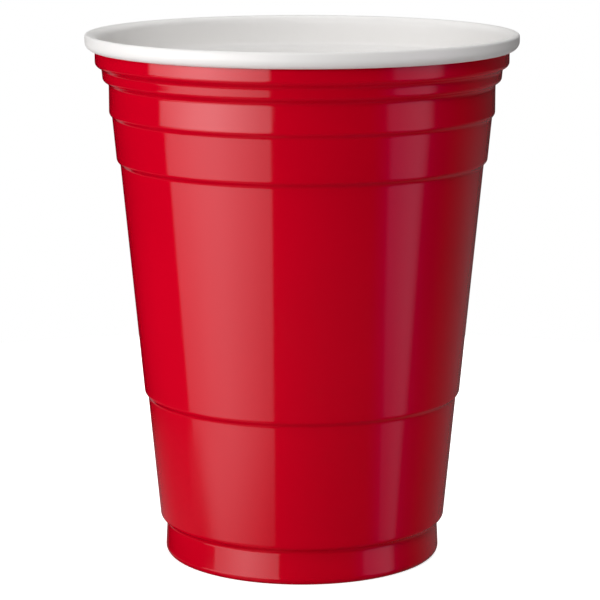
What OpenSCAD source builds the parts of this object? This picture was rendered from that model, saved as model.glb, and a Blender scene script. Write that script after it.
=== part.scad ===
// Plastic party cup, formed from one thin sheet that is red outside and white inside.
// Its edge is rolled outwards into a drinking rim, and ledges stiffen the side wall.
// The cup stands on z = 0 with its axis on Z. All sizes are in millimetres.

/* [Cup] */
// Height from the table to the top of the rim
cup_h = 119; // [112:0.5:140]
// Diameter over the rolled rim
rim_d = 97; // [92:0.5:108]
// Diameter of the foot at the table, before its edge is rounded
foot_d = 62.8; // [56:0.1:68]

/* [Sheet] */
// Thickness of the sheet in the rolled rim, where it is stretched least
rim_t = 0.4; // [0.25:0.05:0.55]
// Thickness of the sheet in the side wall
wall_t = 0.3; // [0.2:0.05:0.5]
// Thickness of the sheet in the floor
floor_t = 0.4; // [0.25:0.05:0.8]

/* [Rolled rim] */
// Height of the roll
rim_h = 3.6; // [3:0.1:5]
// How far the roll stands out past the collar
rim_overhang = 2.2; // [1.6:0.1:3]
// Radius of the roll's outer top edge
rim_edge_r = 0.6; // [0.6:0.05:1.2]
// Radius of the bend under the roll's outer face
rim_under_r = 2; // [1.1:0.1:2.1]
// Gap between the sheet's turned-in edge and the collar
lip_gap = 0.2; // [0.1:0.05:0.6]

/* [Collar and grip rings] */
// Height from the top of the rim to the ledge under the collar
collar_h = 7.25; // [5.5:0.05:12]
// How far the ledge under the collar steps in
collar_step = 1.45; // [0.4:0.05:2.2]
// Height of the narrow ring under the collar
narrow_ring_h = 3.4; // [2.5:0.05:8]
// How far the ledge under the narrow ring steps in
narrow_ring_step = 1.35; // [0.4:0.05:2.2]
// Height of the upright grip ring
grip_ring_h = 7.45; // [4:0.05:12]
// How far the ledge under the grip ring steps in
grip_ring_step = 0.65; // [0.3:0.05:2]
// Height of the tapered ring above the side wall
shoulder_ring_h = 10.55; // [5:0.05:16]
// How far the ledge under the tapered ring steps in
shoulder_ring_step = 0.8; // [0.3:0.05:2]
// Height over which each of these ledges steps in
ledge_h = 0.85; // [0.4:0.05:1.4]
// Radius to which the red face is bent at these ledges
ledge_bend_r = 1.1; // [0.45:0.05:1.2]

/* [Side wall] */
// Height of the low ledge above the table
low_ledge_z = 37.3; // [20:0.1:60]
// How far the low ledge steps in
low_ledge_step = 0.75; // [0.3:0.05:2]
// Height over which the low ledge and the foot's ledge step in
low_ledge_h = 0.9; // [0.6:0.05:2]
// Radius to which the red face is bent at these two ledges
low_bend_r = 1.1; // [0.5:0.05:1.6]

/* [Foot and floor] */
// Height of the ledge above the foot
foot_h = 8.2; // [6:0.05:14]
// How far the ledge above the foot steps in
foot_step = 1.45; // [0.4:0.05:2.5]
// How much wider the foot's radius is at the table than at its top
foot_flare = 0.35; // [0:0.05:0.8]
// Radius of the foot's outer edge
foot_round = 1.4; // [0.6:0.1:2]
// Width of the flat ring that touches the table
land_w = 0.8; // [0.4:0.1:2]
// Radius of the foot's inner edge
foot_inner_round = 0.9; // [0.5:0.1:1.4]
// Height of the floor's underside above the table
floor_z = 2.8; // [2:0.1:4.5]
// How far the wall of the recess leans in from the foot to the floor
recess_lean = 0.5; // [0.1:0.1:1]
// Radius where the recess meets the floor
floor_bend_r = 0.7; // [0.5:0.1:1]
// Diameter of the raised disc that stiffens the floor
disc_d = 41; // [20:1:48]
// Height of the raised disc
disc_rise = 0.5; // [0.2:0.1:1]
// Width of the slope round the raised disc
disc_slope_w = 1.6; // [1:0.1:3]

/* [Hidden] */
$fn = 144;
red = [0.76, 0.01, 0.1];
white = [0.94, 0.93, 0.92];
// Chords in each bend of the sheet
bend_chords = 5;
// Chords in each bend of the rolled rim
roll_chords = 8;
// Largest share of a straight stretch that one bend may use
bend_share = 0.49;
// Smallest radius of a bend's inner face
least_bend_r = 0.05;
// Largest angle through which the sheet's edge can be turned in
most_tuck = 150;
// Cuts and cavities run past the faces they open by this much
past = 1;

rim_r = rim_d / 2;
collar_r = rim_r - rim_overhang;
foot_r = foot_d / 2;

// The roll: the cup's inner face flares out to the top, and turns down over the outer edge
rim_flare_r = rim_overhang + rim_t - rim_edge_r;
roll_inner_r = collar_r - rim_t;
roll_crest_r = rim_r - rim_edge_r;
seam_z = cup_h - rim_flare_r;
roll_under_z = cup_h - rim_h + rim_under_r;
tuck = min(most_tuck, acos((collar_r + lip_gap - rim_r + rim_under_r) / rim_under_r));

// Heights of the ledges above the table
collar_z = cup_h - collar_h;
narrow_z = collar_z - narrow_ring_h;
grip_z = narrow_z - grip_ring_h;
shoulder_z = grip_z - shoulder_ring_h;

// The tapered bands share one draft, which takes up what the ledges leave
narrow_taper_h = narrow_ring_h - ledge_h;
shoulder_taper_h = shoulder_ring_h - ledge_h;
wall_taper_h = shoulder_z - low_ledge_z - (ledge_h + low_ledge_h) / 2;
low_taper_h = low_ledge_z - foot_h - low_ledge_h;
taper_h = narrow_taper_h + shoulder_taper_h + wall_taper_h + low_taper_h;
upper_steps = collar_step + narrow_ring_step + grip_ring_step + shoulder_ring_step;
steps = upper_steps + low_ledge_step + foot_step;
foot_top_r = foot_r - foot_flare;
draft = (collar_r - foot_top_r - steps) / taper_h;

// Radii of the red face at the top of each band
narrow_r = collar_r - collar_step;
grip_r = narrow_r - draft * narrow_taper_h - narrow_ring_step;
shoulder_r = grip_r - grip_ring_step;
wall_r = shoulder_r - draft * shoulder_taper_h - shoulder_ring_step;
low_wall_r = wall_r - draft * wall_taper_h - low_ledge_step;

// Inside the foot
land_r = foot_r - foot_round - land_w - foot_inner_round;
floor_r = land_r - recess_lean;
disc_r = disc_d / 2;

// One ledge: the corners above and below it, each [radius, height, bend radius, sheet]
function ledge(upper_r, lower_r, z, h, bend_r) = [
    [upper_r, z + h / 2, bend_r, wall_t],
    [lower_r, z - h / 2, bend_r, wall_t]
];

// The red face from the rim down to the table and in to the axis
red_corners = concat(
    [[collar_r, seam_z, 0, rim_t]],
    ledge(collar_r, narrow_r, collar_z, ledge_h, ledge_bend_r),
    ledge(grip_r + narrow_ring_step, grip_r, narrow_z, ledge_h, ledge_bend_r),
    ledge(grip_r, shoulder_r, grip_z, ledge_h, ledge_bend_r),
    ledge(wall_r + shoulder_ring_step, wall_r, shoulder_z, ledge_h, ledge_bend_r),
    ledge(low_wall_r + low_ledge_step, low_wall_r, low_ledge_z, low_ledge_h, low_bend_r),
    ledge(foot_top_r + foot_step, foot_top_r, foot_h, low_ledge_h, low_bend_r),
    [
        [foot_r, 0, foot_round, wall_t],
        [land_r, 0, foot_inner_round, floor_t],
        [floor_r, floor_z, floor_bend_r, floor_t],
        [disc_r + disc_slope_w, floor_z, floor_bend_r, floor_t],
        [disc_r, floor_z + disc_rise, floor_bend_r, floor_t],
        [0, floor_z + disc_rise, 0, floor_t]
    ]
);

function place(corner) = [corner[0], corner[1]];
function unit(v) = v / norm(v);
function to_left(v) = [-v[1], v[0]];
function turned(v, a) = [v[0] * cos(a) - v[1] * sin(a), v[0] * sin(a) + v[1] * cos(a)];
function reversed(points) = [for (i = [len(points) - 1:-1:0]) points[i]];

// Points of the bend at corner b, between the straights from a and to c
function bend(a, b, c, r) =
    let (
        v = unit(b - a),
        u = unit(c - b),
        angle = atan2(cross(v, u), v * u),
        room = bend_share * min(norm(b - a), norm(c - b)),
        reach = min(room, r * tan(abs(angle) / 2)),
        bend_r = reach / tan(abs(angle) / 2),
        spoke = -sign(angle) * bend_r * to_left(v),
        centre = b - v * reach - spoke
    )
    [for (k = [0:bend_chords]) centre + turned(spoke, angle * k / bend_chords)];

// The outline through a row of corners, with a bend at each but the first and the last
function outline(corners) = concat(
    [place(corners[0])],
    [for (i = [1:len(corners) - 2])
        each bend(place(corners[i - 1]), place(corners[i]), place(corners[i + 1]), corners[i][2])],
    [place(corners[len(corners) - 1])]
);

// The corner of the white face across the sheet from a red corner
function across(before, here, after) =
    let (
        n = -to_left(unit(place(here) - before)),
        m = -to_left(unit(after - place(here))),
        inwards = sign(cross(n, m)),
        inner_r = max(least_bend_r, here[2] + inwards * here[3]),
        white_place = place(here) + here[3] * (n + m) / (1 + n * m)
    )
    [white_place[0], white_place[1], inner_r];

// The white face, one sheet thickness inside the red face
white_corners = concat(
    [[roll_inner_r, seam_z, 0]],
    [for (i = [1:len(red_corners) - 2])
        across(place(red_corners[i - 1]), red_corners[i], place(red_corners[i + 1]))],
    [[0, floor_z + disc_rise + floor_t, 0]]
);

// Section of the whole cup up to the seam under the roll, as if it were filled
module filled_section() {
    polygon(concat(outline(red_corners), [[0, seam_z]]));
}

// Section of the space inside the cup, which runs up past the seam
module hollow_section() {
    top = [[0, seam_z + past], [roll_inner_r, seam_z + past]];
    polygon(concat(top, outline(white_corners)));
}

// Points of an arc after its start
function arc(centre, r, from, to) =
    [for (k = [1:roll_chords])
        let (a = from + (to - from) * k / roll_chords)
        centre + r * [cos(a), sin(a)]];

// One face of the roll, inset from its outer face
function roll_face(inset) = concat(
    [[roll_inner_r + inset, seam_z]],
    arc([roll_crest_r, seam_z], rim_flare_r - inset, 180, 90),
    arc([roll_crest_r, cup_h - rim_edge_r], rim_edge_r - inset, 90, 0),
    [[rim_r - inset, roll_under_z]],
    arc([rim_r - rim_under_r, roll_under_z], rim_under_r - inset, 0, -tuck)
);

// The edge of the sheet, rolled outwards and tucked in against the collar
module rolled_rim() {
    color(white)
        rotate_extrude()
            polygon(concat(roll_face(0), reversed(roll_face(rim_t))));
}

// The formed sheet from the seam down
module formed_wall() {
    difference() {
        color(red)
            rotate_extrude()
                filled_section();
        color(white)
            rotate_extrude()
                hollow_section();
    }
}

module cup() {
    formed_wall();
    rolled_rim();
}

cup();
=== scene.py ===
# Plastic party cup: the formed sheet with its finish, and the plain studio that shows it.
# Everything is in metres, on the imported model's own axes: the cup stands on z = 0 round Z.
import math
from typing import NamedTuple

import bmesh
import bpy
from mathutils import Matrix, Vector


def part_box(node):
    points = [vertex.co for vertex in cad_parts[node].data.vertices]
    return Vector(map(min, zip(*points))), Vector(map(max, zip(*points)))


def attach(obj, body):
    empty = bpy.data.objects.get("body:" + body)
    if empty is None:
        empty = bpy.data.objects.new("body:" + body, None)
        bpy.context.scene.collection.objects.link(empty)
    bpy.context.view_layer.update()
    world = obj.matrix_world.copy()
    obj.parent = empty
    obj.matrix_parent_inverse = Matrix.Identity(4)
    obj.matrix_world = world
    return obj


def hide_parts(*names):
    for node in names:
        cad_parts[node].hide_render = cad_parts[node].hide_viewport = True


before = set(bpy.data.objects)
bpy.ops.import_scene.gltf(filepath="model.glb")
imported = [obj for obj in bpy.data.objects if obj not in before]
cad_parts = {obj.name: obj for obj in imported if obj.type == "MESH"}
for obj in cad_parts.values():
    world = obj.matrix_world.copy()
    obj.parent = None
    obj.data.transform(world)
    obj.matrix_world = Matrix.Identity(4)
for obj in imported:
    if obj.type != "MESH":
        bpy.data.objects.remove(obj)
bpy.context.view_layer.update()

bl_info = {
    "name": "Plastic Party Cup",
    "version": (1, 0, 0),
    "blender": (4, 5, 0),
    "location": "3D View > Sidebar > Party Cup",
    "description": "Forms a two-colour plastic party cup and sets up the studio that shows it",
    "category": "Add Mesh",
}

CAD_NODE = "cup"

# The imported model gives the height, and the rim stays inside the narrowest side of its box
CAD_LOW, CAD_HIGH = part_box(CAD_NODE)
CUP_HEIGHT = CAD_HIGH.z - CAD_LOW.z
RIM_DIAMETER = 2 * min(CAD_HIGH.x, CAD_HIGH.y, -CAD_LOW.x, -CAD_LOW.y)

# Material slots of the two layers of the sheet
RED_SLOT = 0
WHITE_SLOT = 1
POLYSTYRENE_IOR = 1.58
# How much rougher the sheet is where it is fully rubbed
RUB_ROUGHENING = 0.25

# Gaps under this are closed when a surface of revolution meets itself
MERGE_GAP = 1e-6
# Largest share of a straight stretch that one bend may use
BEND_SHARE = 0.49
# A straight has a row of faces this long at both ends, so that the bends beside it shade cleanly
HOLD_LENGTH = 0.0002
# Largest share of a straight that such a row takes
HOLD_SHARE = 0.25


def size(name, description, default):
    """A length of the cup, shown in the sidebar in the scene's own unit."""
    return bpy.props.FloatProperty(
        name=name, description=description, default=default, min=0.0, precision=5, unit="LENGTH")


def colour(name, description, default):
    """A colour, in linear red, green and blue."""
    return bpy.props.FloatVectorProperty(
        name=name, description=description, default=default, min=0.0, max=1.0, size=3, subtype="COLOR")


def factor(name, description, default, top=1.0):
    """A plain number from nothing up to a top value."""
    return bpy.props.FloatProperty(name=name, description=description, default=default, min=0.0, max=top)


def count(name, description, default):
    """A whole number of steps."""
    return bpy.props.IntProperty(name=name, description=description, default=default, min=2, max=512)


class CupSizes(bpy.types.PropertyGroup):
    """The driving sizes of the formed sheet."""
    height: size("Height", "From the table to the top of the rim", CUP_HEIGHT)
    rim_diameter: size("Rim diameter", "Over the rolled rim", RIM_DIAMETER)
    foot_diameter: size("Foot diameter", "Of the foot at the table, before its edge is rounded", 0.0628)
    rim_sheet: size("Sheet in the rim", "Thickness of the sheet in the rolled rim", 0.0004)
    wall_sheet: size("Sheet in the wall", "Thickness of the sheet in the side wall", 0.0003)
    floor_sheet: size("Sheet in the floor", "Thickness of the sheet in the floor", 0.0004)
    roll_height: size("Roll height", "Height of the rolled rim", 0.0036)
    roll_overhang: size("Roll overhang", "How far the roll stands out past the collar", 0.0022)
    roll_edge: size("Roll edge", "Radius of the roll's outer top edge", 0.0006)
    roll_under_bend: size("Bend under the roll", "Radius under the roll's outer face", 0.002)
    lip_gap: size("Lip gap", "From the sheet's turned-in edge to the collar", 0.0002)
    collar_height: size("Collar", "From the top of the rim to the ledge under the collar", 0.00725)
    collar_step: size("Collar step", "How far the ledge under the collar steps in", 0.00145)
    narrow_ring_height: size("Narrow ring", "Height of the ring under the collar", 0.0034)
    narrow_ring_step: size("Narrow ring step", "How far its ledge steps in", 0.00135)
    grip_ring_height: size("Grip ring", "Height of the upright grip ring", 0.00745)
    grip_ring_step: size("Grip ring step", "How far its ledge steps in", 0.00065)
    shoulder_ring_height: size("Shoulder ring", "Height of the tapered ring above the wall", 0.01055)
    shoulder_ring_step: size("Shoulder ring step", "How far its ledge steps in", 0.0008)
    ledge_height: size("Ledge", "Height over which each of these ledges steps in", 0.00085)
    ledge_bend: size("Ledge bend", "Radius of the red face at these ledges", 0.0011)
    low_ledge_place: size("Low ledge", "Height of the low ledge above the table", 0.0373)
    low_ledge_step: size("Low ledge step", "How far the low ledge steps in", 0.00075)
    low_ledge_height: size("Low ledge height", "Height over which the two low ledges step in", 0.0009)
    low_ledge_bend: size("Low ledge bend", "Radius of the red face at the two low ledges", 0.0011)
    foot_height: size("Foot", "Height of the ledge above the foot", 0.0082)
    foot_step: size("Foot step", "How far the ledge above the foot steps in", 0.00145)
    foot_flare: size("Foot flare", "How much wider the foot is at the table than at its top", 0.00035)
    foot_round: size("Foot edge", "Radius of the foot's outer edge", 0.0014)
    land_width: size("Land", "Width of the flat ring that touches the table", 0.0008)
    foot_inner_round: size("Foot inner edge", "Radius of the foot's inner edge", 0.0009)
    floor_place: size("Floor", "Height of the floor's underside above the table", 0.0028)
    recess_lean: size("Recess lean", "How far the recess leans in from the foot to the floor", 0.0005)
    floor_bend: size("Floor bend", "Radius where the recess meets the floor", 0.0007)
    disc_diameter: size("Disc", "Diameter of the raised disc that stiffens the floor", 0.041)
    disc_rise: size("Disc rise", "Height of the raised disc", 0.0005)
    disc_slope: size("Disc slope", "Width of the slope round the raised disc", 0.0016)
    least_bend: size("Least bend", "Smallest radius of a bend's inner face", 0.00005)
    segments: count("Segments", "Faces round the cup", 192)
    bend_steps: count("Bend steps", "Faces along each bend of the sheet", 6)
    roll_steps: count("Roll steps", "Faces along each bend of the roll", 12)


class CupFinish(bpy.types.PropertyGroup):
    """Colours and gloss of the two layers of the sheet."""
    red: colour("Red", "The outer layer", (0.6, 0.0, 0.0135))
    deep_red: colour("Deep red", "The outer layer where it is a little thicker", (0.575, 0.0, 0.0125))
    white: colour("White", "The inner layer", (0.92, 0.905, 0.89))
    dull_white: colour("Dull white", "The inner layer where it is a little duller", (0.9, 0.885, 0.87))
    red_roughness: factor("Red roughness", "Of the glossy outside", 0.075)
    white_roughness: factor("White roughness", "Of the smooth inside", 0.35)


class StudioSettings(bpy.types.PropertyGroup):
    """The camera, the lamps and the floor."""
    camera_distance: size("Camera distance", "From the cup's axis", 0.59037)
    camera_height: size("Camera height", "Above the table", 0.17032)
    camera_aside: size("Camera aside", "How far the camera stands to the left", 0.00047)
    camera_tilt: bpy.props.FloatProperty(
        name="Camera tilt", description="How far the camera looks down", default=math.radians(10.757),
        subtype="ANGLE")
    lens: bpy.props.FloatProperty(
        name="Lens", description="Focal length on the sensor, in millimetres", default=158.445, min=1.0)
    sensor: bpy.props.FloatProperty(
        name="Sensor", description="Width of the sensor, in millimetres", default=36.0, min=1.0)
    floor_radius: size("Floor radius", "Of the round floor", 0.25)
    tent_radius: size("Tent radius", "Of the dark tent that the glossy faces reflect", 10.0)
    floor_tone: factor("Floor tone", "Grey of the floor under the lamps", 0.75)
    side_key: factor("Side key", "Light of the large lamp at the left", 0.77, 4.0)
    front_key: factor("Front key", "Light of the raised lamp in front", 0.435, 4.0)
    high_light: factor("High light", "Light of the steep lamp in front", 0.27, 4.0)
    far_light: factor("Far light", "Light of the raised lamp behind the cup", 0.23, 4.0)
    back_light: factor("Back light", "Light of the steep lamp behind the cup", 0.495, 4.0)
    low_light: factor("Low light", "Light that comes up past the edge of the floor", 0.285, 4.0)
    ambient: factor("Ambient", "Plain light from all round", 0.015, 4.0)


class Corner(NamedTuple):
    """A corner of one face of the sheet in section, before it is bent."""
    radius: float
    height: float
    bend: float
    sheet: float


def place(corner):
    """Where a corner lies in the section: out from the axis, and up."""
    return Vector((corner.radius, corner.height))


def in_space(point):
    """A point of the section, on the plane that is then spun round the cup's axis."""
    return Vector((point.x, 0.0, point.y))


def across_axis(start, end):
    """Unit normal to the right of the straight from start to end, which is the white side of the red face."""
    along = (end - start).normalized()
    return Vector((along.y, -along.x))


def ledge(upper, lower, middle, height, bend, sheet):
    """The corners above and below a ledge where the wall steps in."""
    return [
        Corner(upper, middle + height / 2, bend, sheet),
        Corner(lower, middle - height / 2, bend, sheet),
    ]


def flare_radius(s):
    """Radius to which the inner face flares out at the top, so that it meets the roll's outer top edge."""
    return s.roll_overhang + s.rim_sheet - s.roll_edge


def red_corners(s):
    """Corners of the red face, from the seam under the rim down to the table and in to the axis."""
    collar_r = s.rim_diameter / 2 - s.roll_overhang
    foot_r = s.foot_diameter / 2
    foot_top_r = foot_r - s.foot_flare
    seam = s.height - flare_radius(s)

    collar_z = s.height - s.collar_height
    narrow_z = collar_z - s.narrow_ring_height
    grip_z = narrow_z - s.grip_ring_height
    shoulder_z = grip_z - s.shoulder_ring_height

    # The tapered bands share one draft, which takes up what the ledges leave
    narrow_taper = s.narrow_ring_height - s.ledge_height
    shoulder_taper = s.shoulder_ring_height - s.ledge_height
    wall_taper = shoulder_z - s.low_ledge_place - (s.ledge_height + s.low_ledge_height) / 2
    low_taper = s.low_ledge_place - s.foot_height - s.low_ledge_height
    upper_steps = s.collar_step + s.narrow_ring_step + s.grip_ring_step + s.shoulder_ring_step
    steps = upper_steps + s.low_ledge_step + s.foot_step
    draft = (collar_r - foot_top_r - steps) / (narrow_taper + shoulder_taper + wall_taper + low_taper)

    narrow_r = collar_r - s.collar_step
    grip_r = narrow_r - draft * narrow_taper - s.narrow_ring_step
    shoulder_r = grip_r - s.grip_ring_step
    wall_r = shoulder_r - draft * shoulder_taper - s.shoulder_ring_step
    low_wall_r = wall_r - draft * wall_taper - s.low_ledge_step

    land_r = foot_r - s.foot_round - s.land_width - s.foot_inner_round
    floor_r = land_r - s.recess_lean
    disc_r = s.disc_diameter / 2
    disc_z = s.floor_place + s.disc_rise

    high = (s.ledge_height, s.ledge_bend, s.wall_sheet)
    low = (s.low_ledge_height, s.low_ledge_bend, s.wall_sheet)
    return [
        Corner(collar_r, seam, 0.0, s.rim_sheet),
        *ledge(collar_r, narrow_r, collar_z, *high),
        *ledge(grip_r + s.narrow_ring_step, grip_r, narrow_z, *high),
        *ledge(grip_r, shoulder_r, grip_z, *high),
        *ledge(wall_r + s.shoulder_ring_step, wall_r, shoulder_z, *high),
        *ledge(low_wall_r + s.low_ledge_step, low_wall_r, s.low_ledge_place, *low),
        *ledge(foot_top_r + s.foot_step, foot_top_r, s.foot_height, *low),
        Corner(foot_r, 0.0, s.foot_round, s.wall_sheet),
        Corner(land_r, 0.0, s.foot_inner_round, s.floor_sheet),
        Corner(floor_r, s.floor_place, s.floor_bend, s.floor_sheet),
        Corner(disc_r + s.disc_slope, s.floor_place, s.floor_bend, s.floor_sheet),
        Corner(disc_r, disc_z, s.floor_bend, s.floor_sheet),
        Corner(0.0, disc_z, 0.0, s.floor_sheet),
    ]


def white_corners(s, red):
    """Corners of the white face, one thickness of the sheet inside the red face."""
    white = [Corner(red[0].radius - s.rim_sheet, red[0].height, 0.0, s.rim_sheet)]
    for before, corner, after in zip(red, red[1:], red[2:]):
        above = across_axis(place(before), place(corner))
        below = across_axis(place(corner), place(after))
        inwards = math.copysign(1.0, above.cross(below))
        moved = place(corner) + corner.sheet * (above + below) / (1 + above.dot(below))
        bend = max(s.least_bend, corner.bend + inwards * corner.sheet)
        white.append(Corner(moved.x, moved.y, bend, corner.sheet))
    white.append(Corner(0.0, red[-1].height + s.floor_sheet, 0.0, s.floor_sheet))
    return white


def draw_straight(bm, pen, end):
    """Draws a straight from the pen's vertex to end, held near both ends."""
    start = pen.co.copy()
    stretch = in_space(end) - start
    hold = min(HOLD_LENGTH / max(stretch.length, MERGE_GAP), HOLD_SHARE)
    for share in (hold, 1 - hold, 1.0):
        pen = bmesh.ops.extrude_vert_indiv(bm, verts=[pen])["verts"][0]
        pen.co = start + share * stretch
    return pen


def draw_arc(bm, pen, centre, angle, steps):
    """Draws an arc by spinning the pen's vertex round a centre, counter-clockwise in the section."""
    spun = bmesh.ops.spin(
        bm, geom=[pen], cent=in_space(centre), axis=(0, -1, 0), dvec=(0, 0, 0), angle=angle, steps=steps,
        use_merge=False, use_normal_flip=False, use_duplicate=False)
    return next(end for end in spun["geom_last"] if isinstance(end, bmesh.types.BMVert))


def draw_face(bm, corners, steps):
    """Draws one face of the sheet through its corners, and bends it at each but the first and the last."""
    pen = bm.verts.new(in_space(place(corners[0])))
    for before, corner, after in zip(corners, corners[1:], corners[2:]):
        coming = place(corner) - place(before)
        going = place(after) - place(corner)
        angle = math.atan2(coming.cross(going), coming.dot(going))
        half = math.tan(abs(angle) / 2)
        reach = min(BEND_SHARE * min(coming.length, going.length), corner.bend * half)
        start = place(corner) - reach * coming.normalized()
        side = across_axis(place(before), place(corner)) * -math.copysign(reach / half, angle)
        pen = draw_straight(bm, pen, start)
        pen = draw_arc(bm, pen, start + side, angle, steps)
    return draw_straight(bm, pen, place(corners[-1]))


def draw_roll_face(bm, s, inset):
    """Draws one face of the rolled rim, inset from its outer face, from the seam over the top to the lip."""
    rim_r = s.rim_diameter / 2
    collar_r = rim_r - s.roll_overhang
    flare = flare_radius(s)
    crest_r = rim_r - s.roll_edge
    under = Vector((rim_r - s.roll_under_bend, s.height - s.roll_height + s.roll_under_bend))
    tuck = math.acos((collar_r + s.lip_gap - under.x) / s.roll_under_bend)
    pen = bm.verts.new(in_space(Vector((crest_r - flare + inset, s.height - flare))))
    pen = draw_arc(bm, pen, Vector((crest_r, s.height - flare)), -math.pi / 2, s.roll_steps)
    pen = draw_arc(bm, pen, Vector((crest_r, s.height - s.roll_edge)), -math.pi / 2, s.roll_steps)
    pen = draw_straight(bm, pen, Vector((rim_r - inset, under.y)))
    return draw_arc(bm, pen, under, -tuck, s.roll_steps)


def spin_quarter(bm, wire, segments, slot):
    """Spins edges a quarter turn round the cup's axis, and gives the new faces a material slot."""
    # Each vertex once and in order, because a set's order would change from run to run
    ends = dict.fromkeys(vert for edge in wire for vert in edge.verts)
    before = set(bm.faces)
    bmesh.ops.spin(
        bm, geom=[*ends, *wire], cent=(0, 0, 0), axis=(0, 0, 1), dvec=(0, 0, 0), angle=math.pi / 2,
        steps=segments // 4, use_merge=False, use_normal_flip=False, use_duplicate=False)
    for face in bm.faces:
        if face not in before:
            face.material_index = slot


def form_sheet(s):
    """The whole cup as one closed sheet: red outside, and white inside and over the rolled rim."""
    bm = bmesh.new()
    red = red_corners(s)
    draw_face(bm, red, s.bend_steps)
    lip_inside = draw_roll_face(bm, s, s.rim_sheet).co.copy()
    red_wire = list(bm.edges)
    draw_face(bm, white_corners(s, red), s.bend_steps)
    lip = draw_roll_face(bm, s, 0.0)
    cut = bmesh.ops.extrude_vert_indiv(bm, verts=[lip])["verts"][0]
    cut.co = lip_inside
    white_wire = list(bm.edges)[len(red_wire):]

    spin_quarter(bm, red_wire, s.segments, RED_SLOT)
    spin_quarter(bm, white_wire, s.segments, WHITE_SLOT)
    bmesh.ops.spin(
        bm, geom=[*bm.verts, *bm.edges, *bm.faces], cent=(0, 0, 0), axis=(0, 0, 1), dvec=(0, 0, 0),
        angle=math.pi * 1.5, steps=3, use_merge=False, use_normal_flip=False, use_duplicate=True)
    bmesh.ops.remove_doubles(bm, verts=bm.verts, dist=MERGE_GAP)
    bmesh.ops.recalc_face_normals(bm, faces=bm.faces)
    # Spin makes its faces in another order each run, so they are sorted by their first two vertices
    bm.verts.index_update()
    bm.faces.sort(key=lambda face: face.verts[0].index * len(bm.verts) + face.verts[1].index)
    for face in bm.faces:
        face.smooth = True
    mesh = bpy.data.meshes.new("formed_cup")
    bm.to_mesh(mesh)
    bm.free()
    return mesh


def add(tree, kind, inputs=None, **settings):
    """Adds a node. Its settings come first, and then each input takes a value or another node's output."""
    node = tree.nodes.new(kind)
    for name, value in settings.items():
        setattr(node, name, value)
    for name, value in (inputs or {}).items():
        if isinstance(value, bpy.types.NodeSocket):
            tree.links.new(value, node.inputs[name])
        else:
            node.inputs[name].default_value = value
    return node


def new_group(name, inputs, outputs):
    """A shader node group with named inputs and outputs: its tree, its input node and its output node."""
    tree = bpy.data.node_groups.new(name, "ShaderNodeTree")
    for label, kind, default in inputs:
        socket = tree.interface.new_socket(label, in_out="INPUT", socket_type=kind)
        if default is not None:
            socket.default_value = default
    for label, kind in outputs:
        tree.interface.new_socket(label, in_out="OUTPUT", socket_type=kind)
    return tree, tree.nodes.new("NodeGroupInput"), tree.nodes.new("NodeGroupOutput")


def math_node(tree, operation, *values):
    """The output of a Math node."""
    return add(tree, "ShaderNodeMath", dict(enumerate(values)), operation=operation).outputs[0]


def noise(tree, vector, scale, detail=2.0, roughness=0.5):
    """The output of a Noise Texture, from 0 to 1."""
    return add(tree, "ShaderNodeTexNoise",
               {"Vector": vector, "Scale": scale, "Detail": detail, "Roughness": roughness}).outputs[0]


def drawn_relief_group():
    """Relief of a sheet drawn down over a mould, in metres: long streaks, slow swells and a fine grain."""
    tree, given, out = new_group(
        "Drawn Sheet Relief",
        [("Position", "NodeSocketVector", None), ("Streaks Round", "NodeSocketFloat", 40.0),
         ("Streak Depth", "NodeSocketFloat", 1e-6), ("Swell Spacing", "NodeSocketFloat", 0.02),
         ("Swell Depth", "NodeSocketFloat", 1e-5), ("Grain Spacing", "NodeSocketFloat", 0.0006),
         ("Grain Depth", "NodeSocketFloat", 1e-7)],
        [("Height", "NodeSocketFloat")])
    position = given.outputs["Position"]
    round_axis = add(tree, "ShaderNodeVectorMath", {0: position, 1: (1, 1, 0)}, operation="MULTIPLY")
    spoke = add(tree, "ShaderNodeVectorMath", {0: round_axis.outputs[0]}, operation="NORMALIZE")
    rise = add(tree, "ShaderNodeVectorMath", {0: position, 1: (0, 0, 0.6)}, operation="MULTIPLY")
    drawn = add(tree, "ShaderNodeVectorMath", {0: spoke.outputs[0], 1: rise.outputs[0]}, operation="ADD")
    streaks = noise(tree, drawn.outputs[0], given.outputs["Streaks Round"], detail=3.0)
    swells = noise(tree, position, math_node(tree, "DIVIDE", 1.0, given.outputs["Swell Spacing"]), detail=1.0)
    grain = noise(tree, position, math_node(tree, "DIVIDE", 1.0, given.outputs["Grain Spacing"]), detail=2.0)
    height = math_node(tree, "MULTIPLY", streaks, given.outputs["Streak Depth"])
    height = math_node(tree, "MULTIPLY_ADD", swells, given.outputs["Swell Depth"], height)
    height = math_node(tree, "MULTIPLY_ADD", grain, given.outputs["Grain Depth"], height)
    tree.links.new(height, out.inputs["Height"])
    return tree


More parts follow.
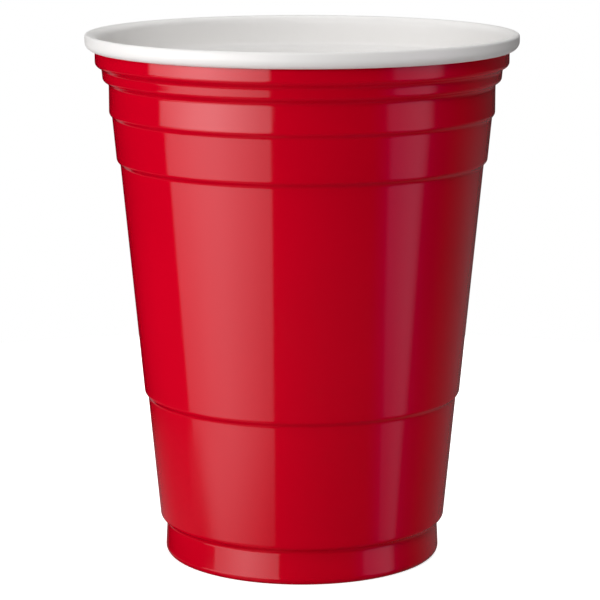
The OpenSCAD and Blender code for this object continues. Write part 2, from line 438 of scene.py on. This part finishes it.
def handling_marks_group():
    """Faint rub marks from stacking and handling, as a mask from 0 to 1."""
    tree, given, out = new_group(
        "Handling Marks",
        [("Position", "NodeSocketVector", None), ("Patch Spacing", "NodeSocketFloat", 0.03),
         ("Mark Spacing", "NodeSocketFloat", 0.0012), ("Amount", "NodeSocketFloat", 0.4)],
        [("Mask", "NodeSocketFloat")])
    position = given.outputs["Position"]
    along = add(tree, "ShaderNodeMapping", {"Vector": position, "Scale": (1.0, 1.0, 0.12)})
    marks = noise(tree, along.outputs[0],
                  math_node(tree, "DIVIDE", 1.0, given.outputs["Mark Spacing"]), detail=4.0, roughness=0.65)
    patches = noise(tree, position, math_node(tree, "DIVIDE", 1.0, given.outputs["Patch Spacing"]))
    sharp = add(tree, "ShaderNodeMapRange", {"Value": marks, "From Min": 0.52, "From Max": 0.72})
    worn = add(tree, "ShaderNodeMapRange", {"Value": patches, "From Min": 0.42, "From Max": 0.7})
    mask = math_node(tree, "MULTIPLY", sharp.outputs[0], worn.outputs[0])
    tree.links.new(math_node(tree, "MULTIPLY", mask, given.outputs["Amount"]), out.inputs["Mask"])
    return tree


def layer_tone_group():
    """Slow change of a moulded layer's colour with its thickness."""
    tree, given, out = new_group(
        "Layer Tone",
        [("Position", "NodeSocketVector", None), ("Thin", "NodeSocketColor", None),
         ("Thick", "NodeSocketColor", None), ("Patch Spacing", "NodeSocketFloat", 0.03)],
        [("Color", "NodeSocketColor")])
    patches = noise(tree, given.outputs["Position"],
                    math_node(tree, "DIVIDE", 1.0, given.outputs["Patch Spacing"]), detail=3.0)
    share = add(tree, "ShaderNodeMapRange", {"Value": patches, "From Min": 0.3, "From Max": 0.7})
    tone = add(tree, "ShaderNodeMix",
               {0: share.outputs[0], 6: given.outputs["Thin"], 7: given.outputs["Thick"]}, data_type="RGBA")
    tree.links.new(tone.outputs[2], out.inputs["Color"])
    return tree


def opaque(tint):
    """A colour with full alpha, as a shader's socket takes it."""
    return (*tint, 1.0)


def layer_material(name, groups, thin, thick, roughness, relief, marks):
    """Material of one layer of the sheet, from the shared groups with this layer's own values."""
    material = bpy.data.materials.new(name)
    material.use_nodes = True
    tree = material.node_tree
    shader = tree.nodes["Principled BSDF"]
    position = add(tree, "ShaderNodeTexCoord").outputs["Object"]
    tone = add(tree, "ShaderNodeGroup", node_tree=groups["tone"])
    tone.inputs["Thin"].default_value = opaque(thin)
    tone.inputs["Thick"].default_value = opaque(thick)
    surface = add(tree, "ShaderNodeGroup", node_tree=groups["relief"])
    for label, value in relief.items():
        surface.inputs[label].default_value = value
    rubbed = add(tree, "ShaderNodeGroup", node_tree=groups["marks"])
    for label, value in marks.items():
        rubbed.inputs[label].default_value = value
    for group in (tone, surface, rubbed):
        tree.links.new(position, group.inputs["Position"])
    bump = add(tree, "ShaderNodeBump", {"Height": surface.outputs["Height"], "Distance": 1.0})
    dulled = add(tree, "ShaderNodeMapRange", {
        "Value": rubbed.outputs["Mask"], "To Min": roughness, "To Max": min(1.0, roughness + RUB_ROUGHENING)})
    shader.inputs["IOR"].default_value = POLYSTYRENE_IOR
    tree.links.new(tone.outputs["Color"], shader.inputs["Base Color"])
    tree.links.new(dulled.outputs[0], shader.inputs["Roughness"])
    tree.links.new(bump.outputs["Normal"], shader.inputs["Normal"])
    return material


class PARTYCUP_OT_form_cup(bpy.types.Operator):
    """Form the cup from one sheet and give its two layers their finish"""
    bl_idname = "party_cup.form_cup"
    bl_label = "Form the Cup"
    bl_options = {"REGISTER", "UNDO"}

    def execute(self, context):
        finish = context.scene.party_cup_finish
        mesh = form_sheet(context.scene.party_cup_sizes)
        groups = {
            "relief": drawn_relief_group(),
            "marks": handling_marks_group(),
            "tone": layer_tone_group(),
        }
        mesh.materials.append(layer_material(
            "red_outer_layer", groups, finish.red, finish.deep_red, finish.red_roughness,
            {"Streaks Round": 14.0, "Streak Depth": 3e-6, "Swell Spacing": 0.018, "Swell Depth": 6e-6,
             "Grain Spacing": 0.0007, "Grain Depth": 1e-7},
            {"Amount": 0.25}))
        mesh.materials.append(layer_material(
            "white_inner_layer", groups, finish.white, finish.dull_white, finish.white_roughness,
            {"Streaks Round": 10.0, "Streak Depth": 2e-6, "Swell Spacing": 0.015, "Swell Depth": 8e-6,
             "Grain Spacing": 0.0005, "Grain Depth": 1e-7},
            {"Amount": 0.06, "Patch Spacing": 0.02}))
        cup = bpy.data.objects.new("formed_cup", mesh)
        context.scene.collection.objects.link(cup)
        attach(cup, "root")
        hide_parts(CAD_NODE)
        return {"FINISHED"}


# Places in the studio are given by azimuth: 0 is towards the camera, and 90 is to the right of the cup
def around(azimuth, distance, height):
    """A place round the cup, from its azimuth in degrees, its distance from the axis and its height."""
    turn = math.radians(azimuth)
    return Vector((distance * math.sin(turn), -distance * math.cos(turn), height))


def stage_object(name, mesh, material):
    """A part of the studio, which isn't part of the cup."""
    mesh.materials.append(material)
    made = bpy.data.objects.new(name, mesh)
    bpy.context.scene.collection.objects.link(made)
    return made


class Window(NamedTuple):
    """A soft window of the tent, which goes on below the horizon as its weaker image in a glossy table."""
    tint: tuple
    strength: float
    # Azimuth of its left and right edge, by elevation, in degrees
    left: tuple
    right: tuple
    # Share of the light from the left edge to the right one, and by elevation
    across: tuple
    up: tuple
    # Power that evens out the light across the image
    evening: float = 1.0
    # How far the stops of up lie higher at the left and the right edge, and the power of that rise
    left_rise: float = 0.0
    right_rise: float = 0.0
    rise_power: float = 1.0
    # The left edge and the share across low in the image, where they differ
    low_left: tuple = ()
    low_across: tuple = ()


# A window reaches down to the first of these elevations, and below the second there is only its image
IMAGE_TOP = -7.5
IMAGE_ONLY = -14.0
# At this azimuth the low part of the image takes over from the first of these elevations to the second,
# and to the right of it further down, by the last value for each degree
LOW_AZIMUTH = -90.0
LOW_TOP = -20.75
LOW_ONLY = -21.1
LOW_LEAN = 0.07

LEFT_WINDOW = Window(
    tint=(1.0, 0.92, 0.93), strength=3.6,
    left=((-90, -90), (-30, -91), (-14, -92.4), (-13.1, -78.5), (-8.6, -78.5), (-7.6, -92.5), (50, -92.5)),
    right=((-90, -30), (-40, -30), (-30, -24), (-25, -21), (-20, -18.8), (-14, -17.4), (-13.1, -18.8),
           (-8.6, -18.8), (-7.6, -16.8), (50, -16.8)),
    across=((0, 0), (0.015, 0.34), (0.03, 0.4), (0.072, 0.44), (0.19, 0.59), (0.35, 0.87), (0.43, 0.95),
            (0.507, 1), (0.586, 0.93), (0.9, 0.5), (0.985, 0.41), (1, 0)),
    up=((-90, 0.02), (-30, 0.05), (-27, 0.12), (-24, 0.33), (-19, 0.455), (-16.3, 0.53), (-12, 0.51),
        (-7.5, 1), (3, 1), (10, 0)),
    evening=0.72, left_rise=3.5, right_rise=0.8, rise_power=5.0,
    low_left=((-90, -94), (-25, -94), (-23.4, -95.5), (-22.7, -98), (-21.7, -100.5), (-20, -101)),
    low_across=((0, 0), (0.1, 0.15), (0.148, 0.25), (0.246, 0.68), (0.296, 0.81), (0.345, 0.9),
                (0.394, 0.93), (0.542, 0.93), (0.69, 0.81), (0.985, 0.48), (1, 0)))
RIGHT_WINDOW = Window(
    tint=(0.95, 0.65, 0.75), strength=0.78,
    left=((-90, 75), (-30, 75), (-24, 63.8), (-20, 57.7), (-16, 53.2), (-12, 50.4), (-7, 49), (50, 49)),
    right=((-90, 84.5), (50, 84.5)),
    across=((0, 0), (0.1, 0.45), (0.3, 0.62), (0.5, 0.85), (0.7, 1), (0.8, 0.94), (0.9, 0.6), (1, 0)),
    up=((-90, 0.02), (-28, 0.2), (-23.9, 0.5), (-21.2, 0.58), (-19.1, 0.76), (-16.3, 0.82), (-12, 0.83),
        (-6.8, 1), (3, 1), (10, 0)))
VIOLET_WINDOW = Window(
    tint=(0.2, 0.0, 1.0), strength=0.3,
    left=((-90, 58), (-28, 58), (-21, 48), (-16, 43.4), (-12, 41), (-7, 40), (50, 40)),
    right=((-90, 106), (50, 106)),
    across=((0, 0), (0.13, 0.55), (0.22, 1), (0.54, 0.7), (0.66, 0.5), (0.75, 0.25), (1, 0)),
    up=((-90, 0.1), (-28, 0.4), (-24, 0.7), (-20, 0.9), (-16, 1), (-10, 0.8), (3, 0.7), (10, 0)))
FAR_RIGHT_WINDOW = Window(
    tint=(1.0, 0.9, 0.9), strength=0.15,
    left=((-90, 96), (50, 96)),
    right=((-90, 168), (50, 168)),
    across=((0, 0), (0.25, 0.4), (0.5, 0.85), (0.7, 1), (1, 0.5)),
    up=((-90, 0.1), (-22, 0.8), (-16, 0.9), (-12, 1), (-7, 0.3), (3, 0.3), (10, 0)))
FAR_LEFT_WINDOW = Window(
    tint=(1.0, 0.9, 0.95), strength=0.2,
    left=((-90, -168), (50, -168)),
    right=((-90, -90), (50, -90)),
    across=((0, 1), (0.3, 1), (0.6, 0.6), (0.9, 0.7), (1, 0)),
    up=((-90, 0), (-28.5, 0), (-26, 1), (-23.5, 0.85), (-22.5, 0.55), (-21.4, 0.3), (-20.6, 0)),
    left_rise=6.8)
WINDOWS = (LEFT_WINDOW, RIGHT_WINDOW, VIOLET_WINDOW, FAR_RIGHT_WINDOW, FAR_LEFT_WINDOW)


def ramp(tree, value, stops):
    """A share that changes along a value, from stops of value and share."""
    low = stops[0][0]
    high = stops[-1][0]
    along = add(tree, "ShaderNodeMapRange", {"Value": value, "From Min": low, "From Max": high})
    node = add(tree, "ShaderNodeValToRGB", {"Fac": along.outputs[0]})
    made = node.color_ramp.elements
    while len(made) < len(stops):
        made.new(1.0)
    for stop, (spot, share) in zip(made, stops):
        stop.position = (spot - low) / (high - low)
        stop.color = opaque((share, share, share))
    return node.outputs["Color"]


def edge(tree, elevation, stops):
    """An azimuth that changes with the elevation, from stops of elevation and azimuth."""
    azimuths = [azimuth for _, azimuth in stops]
    span = max(azimuths) - min(azimuths) or 1.0
    shares = [(spot, (azimuth - min(azimuths)) / span) for spot, azimuth in stops]
    return math_node(tree, "MULTIPLY_ADD", ramp(tree, elevation, shares), span, min(azimuths))


def mix(tree, share, first, second):
    """A number between two others."""
    return add(tree, "ShaderNodeMix", {0: share, 2: first, 3: second}).outputs[0]


def window_light(tree, window, azimuth, elevation):
    """The light of one window of the tent."""
    left = edge(tree, elevation, window.left)
    right = edge(tree, elevation, window.right)
    if window.low_left:
        to_right = math_node(tree, "SUBTRACT", azimuth, LOW_AZIMUTH)
        leaning = math_node(tree, "MULTIPLY_ADD", to_right, LOW_LEAN, elevation)
        lowness = add(tree, "ShaderNodeMapRange", {
            "Value": leaning, "From Min": LOW_TOP, "From Max": LOW_ONLY})
        left = mix(tree, lowness.outputs[0], left, edge(tree, elevation, window.low_left))
    inside = {"Value": azimuth, "From Min": left, "From Max": right}
    along = add(tree, "ShaderNodeMapRange", inside).outputs[0]
    evened = add(tree, "ShaderNodeMapRange", {
        "Value": elevation, "From Min": IMAGE_ONLY, "From Max": IMAGE_TOP, "To Min": window.evening})
    across = math_node(tree, "POWER", ramp(tree, along, window.across), evened.outputs[0])
    if window.low_left:
        across = mix(tree, lowness.outputs[0], across, ramp(tree, along, window.low_across))
    near_left = math_node(tree, "POWER", math_node(tree, "SUBTRACT", 1.0, along), window.rise_power)
    near_right = math_node(tree, "POWER", along, window.rise_power)
    risen = math_node(tree, "MULTIPLY", near_left, window.left_rise)
    risen = math_node(tree, "MULTIPLY_ADD", near_right, window.right_rise, risen)
    up = ramp(tree, math_node(tree, "SUBTRACT", elevation, risen), window.up)
    strength = math_node(tree, "MULTIPLY", math_node(tree, "MULTIPLY", across, up), window.strength)
    return add(tree, "ShaderNodeEmission", {"Color": opaque(window.tint), "Strength": strength}).outputs[0]


def tent_material():
    """Dark all round, with soft windows that the glossy faces reflect."""
    material = bpy.data.materials.new("dark_tent")
    material.use_nodes = True
    material.cycles.emission_sampling = "NONE"
    tree = material.node_tree
    tree.nodes.clear()
    spot = add(tree, "ShaderNodeTexCoord").outputs["Object"]
    part = add(tree, "ShaderNodeSeparateXYZ", {"Vector": spot}).outputs
    to_camera = math_node(tree, "MULTIPLY", part["Y"], -1.0)
    azimuth = math_node(tree, "DEGREES", math_node(tree, "ARCTAN2", part["X"], to_camera))
    away = add(tree, "ShaderNodeVectorMath", {0: spot}, operation="LENGTH").outputs["Value"]
    rise = math_node(tree, "DIVIDE", part["Z"], away)
    elevation = math_node(tree, "DEGREES", math_node(tree, "ARCSINE", rise))
    light = window_light(tree, WINDOWS[0], azimuth, elevation)
    for window in WINDOWS[1:]:
        more = window_light(tree, window, azimuth, elevation)
        light = add(tree, "ShaderNodeAddShader", {0: light, 1: more}).outputs[0]
    tree.links.new(light, add(tree, "ShaderNodeOutputMaterial").inputs["Surface"])
    return material


def add_tent(radius):
    """A dark tent round the studio, which shows only as a reflection on the glossy sheet."""
    bm = bmesh.new()
    bmesh.ops.create_icosphere(bm, subdivisions=5, radius=radius)
    mesh = bpy.data.meshes.new("dark_tent")
    bm.to_mesh(mesh)
    bm.free()
    tent = stage_object("dark_tent", mesh, tent_material())
    tent.visible_camera = False
    tent.visible_diffuse = False
    tent.visible_transmission = False
    tent.visible_volume_scatter = False
    tent.visible_shadow = False


def shown_directly(tree):
    """1 for rays from the camera, off glossy faces and through clear ones, and 0 for the rest."""
    path = add(tree, "ShaderNodeLightPath").outputs
    seen = math_node(tree, "MAXIMUM", path["Is Camera Ray"], path["Is Glossy Ray"])
    return math_node(tree, "MAXIMUM", seen, path["Is Transmission Ray"])


# Share of its full white that the floor shows beside the cup, and how far from the axis it grows from there
VEIL_SHARE = 0.8
VEIL_START = 0.05


def add_floor(radius, tone):
    """A round pale floor. It shows white, it keeps the cup's soft shadow, and from below it is clear."""
    bm = bmesh.new()
    bmesh.ops.create_circle(bm, cap_ends=True, segments=96, radius=radius)
    mesh = bpy.data.meshes.new("floor")
    bm.to_mesh(mesh)
    bm.free()
    material = bpy.data.materials.new("pale_floor")
    material.use_nodes = True
    tree = material.node_tree
    shader = tree.nodes["Principled BSDF"]
    shader.inputs["Base Color"].default_value = opaque((tone, tone, tone))
    shader.inputs["Roughness"].default_value = 0.9
    shader.inputs["Specular IOR Level"].default_value = 0.0
    shader.inputs["Emission Color"].default_value = opaque((1.0, 1.0, 1.0))
    place_on_floor = add(tree, "ShaderNodeTexCoord").outputs["Object"]
    away = add(tree, "ShaderNodeVectorMath", {0: place_on_floor}, operation="LENGTH").outputs["Value"]
    veil = add(tree, "ShaderNodeMapRange", {
        "Value": away, "From Min": VEIL_START, "From Max": radius, "To Min": VEIL_SHARE, "To Max": 1.0})
    glow = math_node(tree, "MULTIPLY", veil.outputs[0], shown_directly(tree))
    tree.links.new(glow, shader.inputs["Emission Strength"])
    below = add(tree, "ShaderNodeNewGeometry").outputs["Backfacing"]
    clear = add(tree, "ShaderNodeBsdfTransparent")
    either = add(tree, "ShaderNodeMixShader", {0: below, 1: shader.outputs[0], 2: clear.outputs[0]})
    tree.links.new(either.outputs[0], tree.nodes["Material Output"].inputs["Surface"])
    floor = stage_object("floor", mesh, material)
    floor.visible_glossy = False


def set_world(ambient):
    """Plain light from all round, which shows as white behind the cup."""
    world = bpy.data.worlds.new("plain_studio")
    bpy.context.scene.world = world
    world.use_nodes = True
    tree = world.node_tree
    tree.nodes.clear()
    light = add(tree, "ShaderNodeBackground", {"Color": opaque((1.0, 1.0, 1.0)), "Strength": ambient})
    white = add(tree, "ShaderNodeBackground", {"Color": opaque((1.0, 1.0, 1.0)), "Strength": 1.0})
    both = add(tree, "ShaderNodeMixShader", {
        0: shown_directly(tree), 1: light.outputs[0], 2: white.outputs[0]})
    tree.links.new(both.outputs[0], add(tree, "ShaderNodeOutputWorld").inputs["Surface"])


class Lamp(NamedTuple):
    """A soft rectangular lamp, turned to the middle of the cup."""
    name: str
    # The studio's setting that holds its light
    setting: str
    azimuth: float
    distance: float
    height: float
    width: float
    length: float


LAMPS = (
    Lamp("side_key_lamp", "side_key", azimuth=-75, distance=1.0, height=0.1, width=0.5, length=0.6),
    Lamp("front_key_lamp", "front_key", azimuth=-15, distance=1.0, height=0.6, width=0.5, length=0.5),
    Lamp("high_lamp", "high_light", azimuth=30, distance=0.55, height=1.0, width=0.5, length=0.5),
    Lamp("far_lamp", "far_light", azimuth=165, distance=1.0, height=0.4, width=0.7, length=0.5),
    Lamp("back_lamp", "back_light", azimuth=180, distance=0.55, height=0.95, width=0.5, length=0.5),
    Lamp("low_lamp", "low_light", azimuth=45, distance=0.9, height=-0.5, width=0.6, length=0.4),
)


def add_lamp(lamp, light):
    """Adds one lamp. Its light is what a white face at the cup's middle, turned to the lamp, gives back."""
    data = bpy.data.lights.new(lamp.name, "AREA")
    data.shape = "RECTANGLE"
    data.size = lamp.width
    data.size_y = lamp.length
    spot = around(lamp.azimuth, lamp.distance, lamp.height)
    towards = Vector((0.0, 0.0, CUP_HEIGHT / 2)) - spot
    data.energy = light * (math.pi * towards.length) ** 2
    made = bpy.data.objects.new(lamp.name, data)
    made.matrix_world = Matrix.Translation(spot) @ towards.to_track_quat("-Z", "Y").to_matrix().to_4x4()
    made.visible_glossy = False
    made.visible_camera = False
    bpy.context.scene.collection.objects.link(made)


def add_camera(s):
    """The camera at the photograph's angle."""
    data = bpy.data.cameras.new("camera")
    data.sensor_width = s.sensor
    data.lens = s.lens
    data.clip_start = 0.01
    camera = bpy.data.objects.new("camera", data)
    camera.location = (-s.camera_aside, -s.camera_distance, s.camera_height)
    camera.rotation_euler = (math.pi / 2 - s.camera_tilt, 0.0, 0.0)
    bpy.context.scene.collection.objects.link(camera)
    bpy.context.scene.camera = camera


class PARTYCUP_OT_build_studio(bpy.types.Operator):
    """Set up the pale floor, the soft light and the camera"""
    bl_idname = "party_cup.build_studio"
    bl_label = "Build the Studio"
    bl_options = {"REGISTER", "UNDO"}

    def execute(self, context):
        settings = context.scene.party_cup_studio
        context.scene.view_settings.view_transform = "Standard"
        set_world(settings.ambient)
        add_floor(settings.floor_radius, settings.floor_tone)
        add_tent(settings.tent_radius)
        for lamp in LAMPS:
            add_lamp(lamp, getattr(settings, lamp.setting))
        add_camera(settings)
        return {"FINISHED"}


class PARTYCUP_PT_sidebar(bpy.types.Panel):
    """The cup's sizes, finish and studio"""
    bl_idname = "PARTYCUP_PT_sidebar"
    bl_label = "Party Cup"
    bl_space_type = "VIEW_3D"
    bl_region_type = "UI"
    bl_category = "Party Cup"

    def draw(self, context):
        for settings, operator in (
                (context.scene.party_cup_sizes, None),
                (context.scene.party_cup_finish, PARTYCUP_OT_form_cup),
                (context.scene.party_cup_studio, PARTYCUP_OT_build_studio)):
            box = self.layout.box()
            for name in settings.__annotations__:
                box.prop(settings, name)
            if operator:
                box.operator(operator.bl_idname)


CLASSES = (
    CupSizes,
    CupFinish,
    StudioSettings,
    PARTYCUP_OT_form_cup,
    PARTYCUP_OT_build_studio,
    PARTYCUP_PT_sidebar,
)


def register():
    for cls in CLASSES:
        bpy.utils.register_class(cls)
    bpy.types.Scene.party_cup_sizes = bpy.props.PointerProperty(type=CupSizes)
    bpy.types.Scene.party_cup_finish = bpy.props.PointerProperty(type=CupFinish)
    bpy.types.Scene.party_cup_studio = bpy.props.PointerProperty(type=StudioSettings)


def unregister():
    del bpy.types.Scene.party_cup_studio
    del bpy.types.Scene.party_cup_finish
    del bpy.types.Scene.party_cup_sizes
    for cls in reversed(CLASSES):
        bpy.utils.unregister_class(cls)


def main():
    """Makes everything in order: registers the add-on, forms the cup and builds the studio."""
    register()
    bpy.ops.party_cup.form_cup()
    bpy.ops.party_cup.build_studio()


if __name__ == "__main__":
    main()
